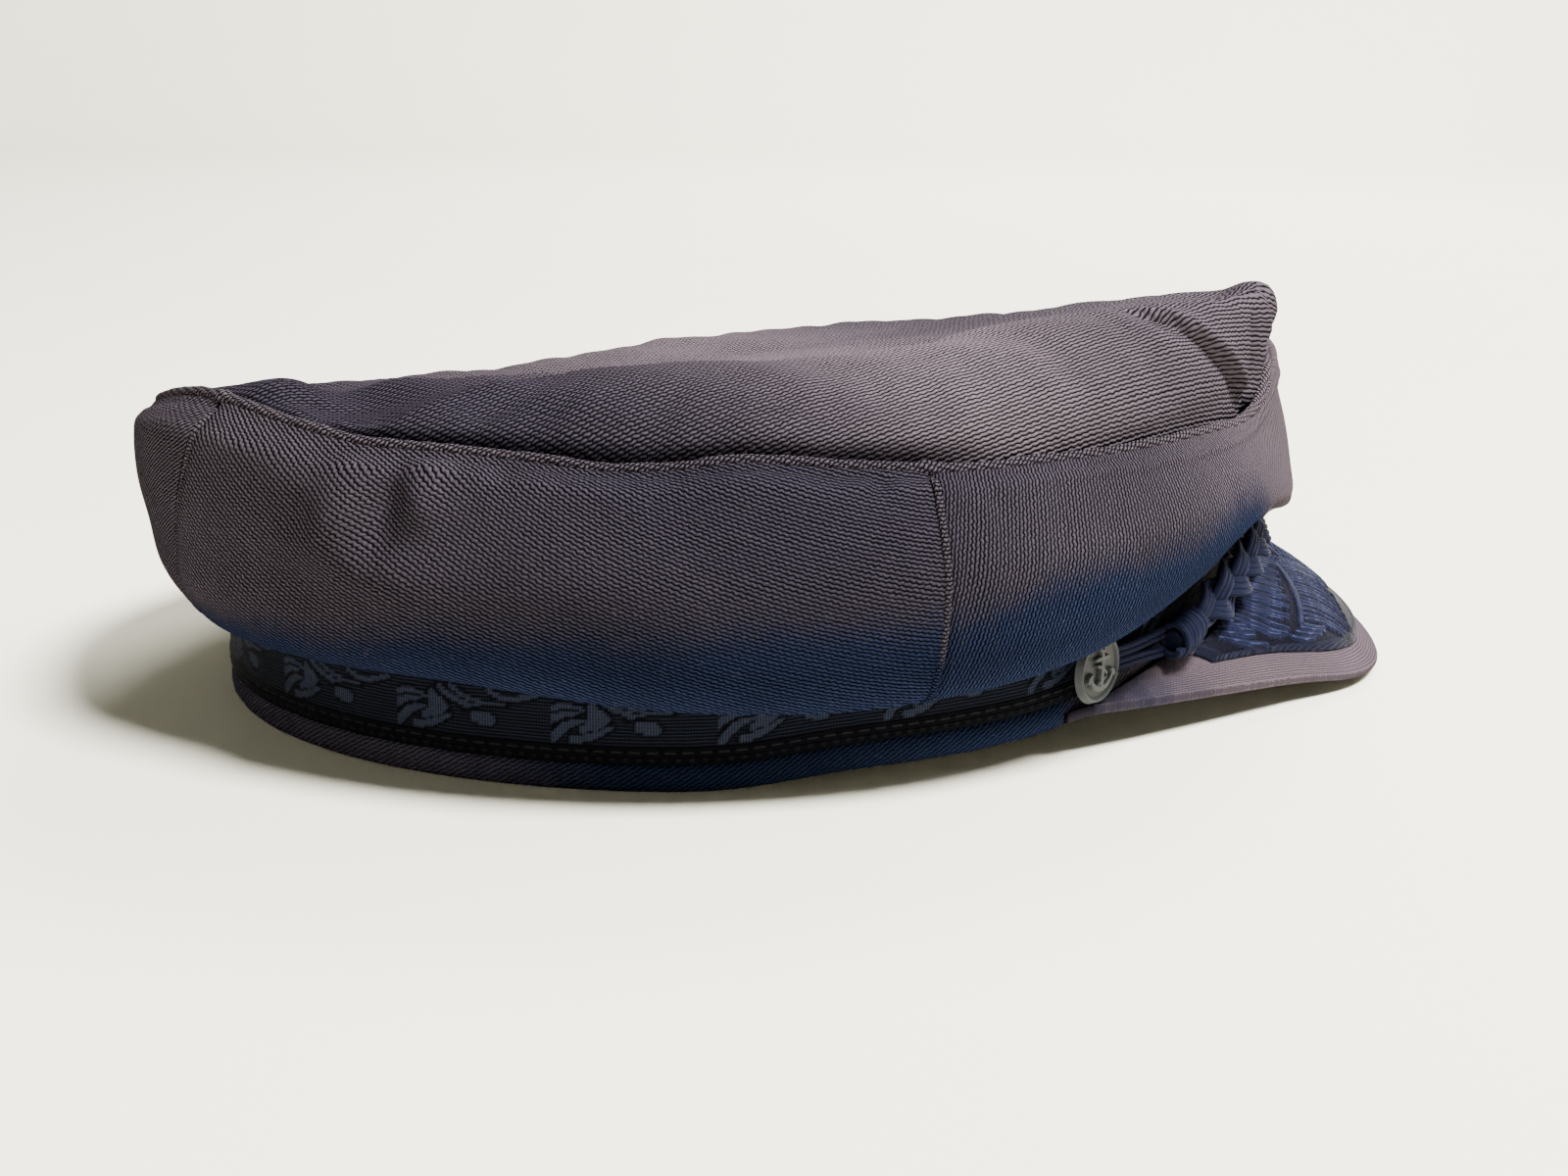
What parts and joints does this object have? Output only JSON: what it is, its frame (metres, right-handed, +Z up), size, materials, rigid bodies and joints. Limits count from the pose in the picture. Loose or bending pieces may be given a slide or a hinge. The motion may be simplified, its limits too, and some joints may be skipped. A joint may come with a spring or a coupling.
{
  "type": "greek fisherman cap",
  "caption": "Soft flat-topped cap with a stiff band, jacquard ribbon, piped oval top, embroidered peak and a plaited front cord between anchor buttons.",
  "frame": {"origin": "middle of the cap's box, on the surface that it rests on", "axes": "+X forward over the peak, +Y to the wearer's left, +Z up"},
  "size_m": [0.2652, 0.2104, 0.0803],
  "materials": {
    "crown_twill": "faded mauve cotton twill, navy in the folds",
    "hem_twill": "navy cotton twill, worn pale at the edge",
    "peak_twill": "faded mauve ribbed cotton",
    "jacquard_ribbon": "ribbed navy ribbon with a woven leaf pattern",
    "embroidered_satin": "satin stitch in navy and violet thread",
    "satin_cord": "navy soutache cord with a soft shine",
    "pewter": "dull grey-green cast metal with dark recesses"
  },
  "bodies": {
    "root": {"headband": "hem_twill", "ribbon": "jacquard_ribbon", "crown_side_front_right": "crown_twill", "crown_side_front_left": "crown_twill", "crown_side_back_left": "crown_twill", "crown_side_back_right": "crown_twill", "top_welt": "crown_twill", "crown_top": "crown_twill", "front_seam": "crown_twill", "right_seam": "crown_twill", "back_seam": "crown_twill", "left_seam": "crown_twill", "peak": "peak_twill", "peak_embroidery": "embroidered_satin", "front_braid": "satin_cord", "knot_right": "satin_cord", "knot_left": "satin_cord", "cord_strap_right": "satin_cord", "cord_strap_left": "satin_cord", "button_right": "pewter", "button_left": "pewter"}
  },
  "joints": []
}
